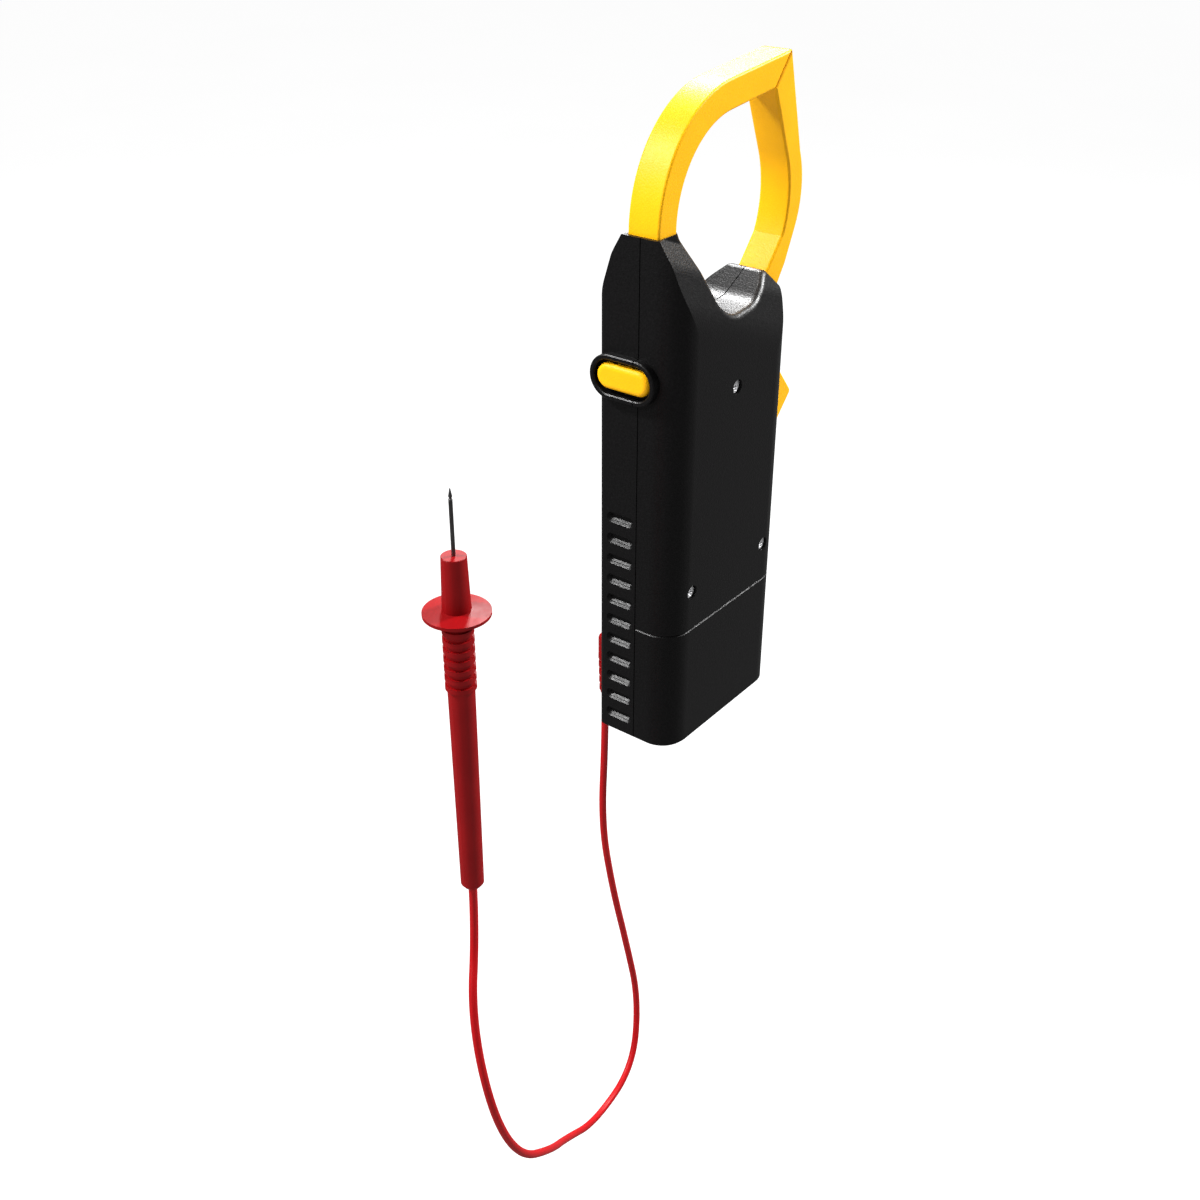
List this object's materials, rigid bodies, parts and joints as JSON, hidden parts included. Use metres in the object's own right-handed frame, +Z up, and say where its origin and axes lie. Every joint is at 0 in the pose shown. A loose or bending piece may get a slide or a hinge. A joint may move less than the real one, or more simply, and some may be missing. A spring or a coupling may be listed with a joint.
{
  "type": "clamp meter",
  "caption": "Hand-held clamp meter: black two-part case, yellow jaws opened by a side trigger, hold button, rotary switch, display and a red test lead with probe.",
  "frame": {"origin": "in the gripping hand: on the axis of the case, 70 mm above its bottom face, at the split between the two case halves", "axes": "+Z up along the case towards the jaws, -Y out of the front face with the display, +X to the right seen from the front, towards the hold button"},
  "size_m": [0.1988, 0.0552, 0.4304],
  "materials": {
    "case_black": "fine-grained moulded plastic",
    "jaw_yellow": "fine-grained moulded plastic",
    "lead_red": "smooth soft plastic",
    "steel": "bright",
    "screw_chrome": "polished",
    "needle_steel": "ground",
    "brass": "turned",
    "copper": "enamelled wire",
    "core_steel": "stacked laminations",
    "board_green": "solder mask",
    "chip_black": "moulded epoxy",
    "component_blue": "lacquered",
    "grey_plastic": "moulded",
    "knob_grey": "fine-grained moulded plastic",
    "clear_window": "clear acrylic",
    "display_glass": "liquid crystal display",
    "foam_grey": "foam",
    "battery_wrap": "printed sleeve, no lettering",
    "wire": "insulated wire"
  },
  "bodies": {
    "case": {"front_shell": "case_black", "rear_shell": "case_black", "case_screws": "screw_chrome", "fixed_jaw": "jaw_yellow", "fixed_core": "core_steel", "sense_coil": "copper", "jaw_pivot_pin": "steel", "jaw_return_spring": "steel", "hold_switch": "grey_plastic", "detent_ring": "grey_plastic", "lcd_window": "clear_window", "lcd_glass": "display_glass", "lcd_frame": "grey_plastic", "lcd_contact_strips": "foam_grey", "main_board": "board_green", "board_screws": "steel", "meter_chip": "chip_black", "amplifier_chips": "chip_black", "resistors": "component_blue", "capacitors": "component_blue", "trimmer": "component_blue", "protection_thermistor": "component_blue", "buzzer": "chip_black", "jack_ext": "brass", "jack_com": "brass", "jack_volt": "brass", "battery": "battery_wrap", "battery_terminals": "steel", "battery_snap": "wire", "foam_pad": "foam_grey", "battery_wires": "wire", "coil_leads": "copper"},
    "jaw": {"jaw_lever": "jaw_yellow", "moving_core": "core_steel"},
    "hold": {"hold_button": "jaw_yellow"},
    "knob": {"rotary_knob": "knob_grey", "knob_rotor": "grey_plastic", "rotor_contacts": "brass", "detent_balls": "steel", "detent_springs": "steel"},
    "lead": {"plug_pin": "brass", "plug_body": "lead_red", "strain_relief": "lead_red", "test_lead": "lead_red", "probe_handle": "lead_red", "probe_needle": "needle_steel"},
    "door": {"battery_door": "case_black"}
  },
  "joints": [
    {"name": "jaw_hinge", "type": "hinge", "parent": "case", "child": "jaw", "pos_m": [-0.0255, 0, 0.077], "axis": [0, -1, 0], "range_deg": [0, 24], "stiffness_Nm_per_rad": 0.25, "springref_deg": -68.75},
    {"name": "hold_press", "type": "slide", "parent": "case", "child": "hold", "axis": [-1, 0, 0], "range_m": [0, 0.0012], "stiffness_N_per_m": 1200, "springref_m": -0.0003},
    {"name": "knob_turn", "type": "hinge", "parent": "case", "child": "knob", "pos_m": [0, -0.016, 0.044], "axis": [0, -1, 0], "range_deg": [-150, 150]},
    {"name": "lead_unplug", "type": "slide", "parent": "case", "child": "lead", "axis": [0, -1, 0], "range_m": [0, 0.0115]},
    {"name": "door_slide", "type": "slide", "parent": "case", "child": "door", "axis": [0, 0, -1], "range_m": [0, 0.05]}
  ]
}
